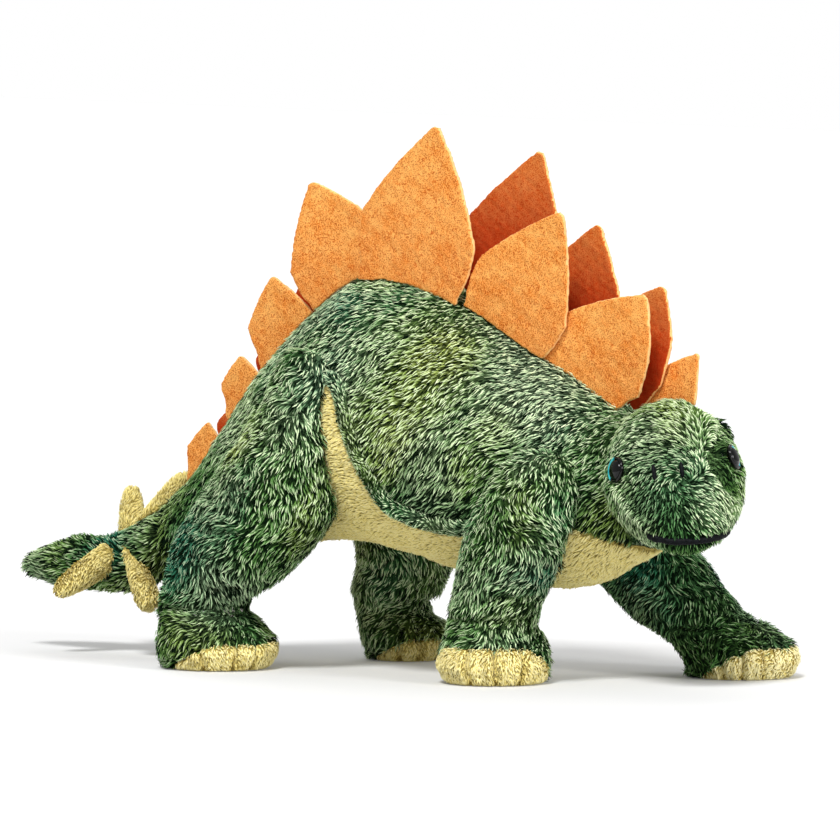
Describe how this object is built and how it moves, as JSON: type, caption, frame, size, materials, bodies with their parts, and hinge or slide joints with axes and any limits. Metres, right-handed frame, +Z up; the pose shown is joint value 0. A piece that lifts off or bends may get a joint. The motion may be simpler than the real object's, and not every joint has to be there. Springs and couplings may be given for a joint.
{
  "type": "stuffed stegosaurus",
  "caption": "Plush stegosaurus standing on its feet, with felt back plates, stuffed tail spikes, and a head, tail and legs that give at their seams.",
  "frame": {"origin": "middle of the footprint of the whole toy, on the floor", "axes": "+X from tail to head along the body, +Y to the toy's left, +Z up"},
  "size_m": [0.4532, 0.167, 0.2738],
  "materials": {
    "green_pile": "short mottled green pile fabric",
    "yellow_pile": "short soft yellow pile fabric",
    "orange_felt": "speckled orange felt",
    "fibre_fill": "loose white polyester fibre",
    "gloss_eye": "polished black moulded plastic",
    "washer_plastic": "plain white moulded plastic",
    "black_thread": "black embroidery thread"
  },
  "bodies": {
    "torso": {"torso_skin": "green_pile", "belly_panel": "yellow_pile", "torso_filling": "fibre_fill", "right_plate_1": "orange_felt", "right_plate_2": "orange_felt", "right_plate_3": "orange_felt", "right_plate_4": "orange_felt", "right_plate_5": "orange_felt", "right_plate_6": "orange_felt", "right_plate_7": "orange_felt", "left_plate_1": "orange_felt", "left_plate_2": "orange_felt", "left_plate_3": "orange_felt", "left_plate_4": "orange_felt", "left_plate_5": "orange_felt", "left_plate_6": "orange_felt", "left_plate_7": "orange_felt", "left_plate_8": "orange_felt"},
    "head": {"head_skin": "green_pile", "head_filling": "fibre_fill", "right_eye": "gloss_eye", "left_eye": "gloss_eye", "right_eye_washer": "washer_plastic", "left_eye_washer": "washer_plastic", "mouth_stitch": "black_thread", "right_nostril_stitch": "black_thread", "left_nostril_stitch": "black_thread"},
    "tail": {"tail_skin": "green_pile", "tail_filling": "fibre_fill", "right_rear_spike": "yellow_pile", "right_front_spike": "yellow_pile", "left_rear_spike": "yellow_pile", "left_front_spike": "yellow_pile"},
    "right_hind_leg": {"right_hind_leg_skin": "green_pile", "right_hind_toe_cap": "yellow_pile", "right_hind_leg_filling": "fibre_fill"},
    "left_hind_leg": {"left_hind_leg_skin": "green_pile", "left_hind_toe_cap": "yellow_pile", "left_hind_leg_filling": "fibre_fill"},
    "right_front_leg": {"right_front_leg_skin": "green_pile", "right_front_toe_cap": "yellow_pile", "right_front_leg_filling": "fibre_fill"},
    "left_front_leg": {"left_front_leg_skin": "green_pile", "left_front_toe_cap": "yellow_pile", "left_front_leg_filling": "fibre_fill"}
  },
  "joints": [
    {"name": "neck_turn", "type": "hinge", "parent": "torso", "child": "head", "pos_m": [0.1592, -0.0035, 0.1], "axis": [0, 0, 1], "range_deg": [-20, 20], "stiffness_Nm_per_rad": 1, "deforming": ["head_skin", "head_filling"]},
    {"name": "tail_sway", "type": "hinge", "parent": "torso", "child": "tail", "pos_m": [-0.1308, -0.0035, 0.063], "axis": [0, 0, 1], "range_deg": [-25, 25], "stiffness_Nm_per_rad": 0.6, "deforming": ["tail_skin", "tail_filling"]},
    {"name": "right_hind_swing", "type": "hinge", "parent": "torso", "child": "right_hind_leg", "pos_m": [-0.0219, -0.0485, 0.125], "axis": [0, 1, 0], "range_deg": [-20, 20], "stiffness_Nm_per_rad": 1.2, "deforming": ["right_hind_leg_skin", "right_hind_leg_filling"]},
    {"name": "left_hind_swing", "type": "hinge", "parent": "torso", "child": "left_hind_leg", "pos_m": [-0.0219, 0.0415, 0.125], "axis": [0, 1, 0], "range_deg": [-20, 20], "stiffness_Nm_per_rad": 1.2, "deforming": ["left_hind_leg_skin", "left_hind_leg_filling"]},
    {"name": "right_front_swing", "type": "hinge", "parent": "torso", "child": "right_front_leg", "pos_m": [0.1212, -0.0475, 0.095], "axis": [0, 1, 0], "range_deg": [-20, 20], "stiffness_Nm_per_rad": 1.2, "deforming": ["right_front_leg_skin", "right_front_leg_filling"]},
    {"name": "left_front_swing", "type": "hinge", "parent": "torso", "child": "left_front_leg", "pos_m": [0.1092, 0.0405, 0.095], "axis": [0, 1, 0], "range_deg": [-20, 20], "stiffness_Nm_per_rad": 1.2, "deforming": ["left_front_leg_skin", "left_front_leg_filling"]}
  ]
}
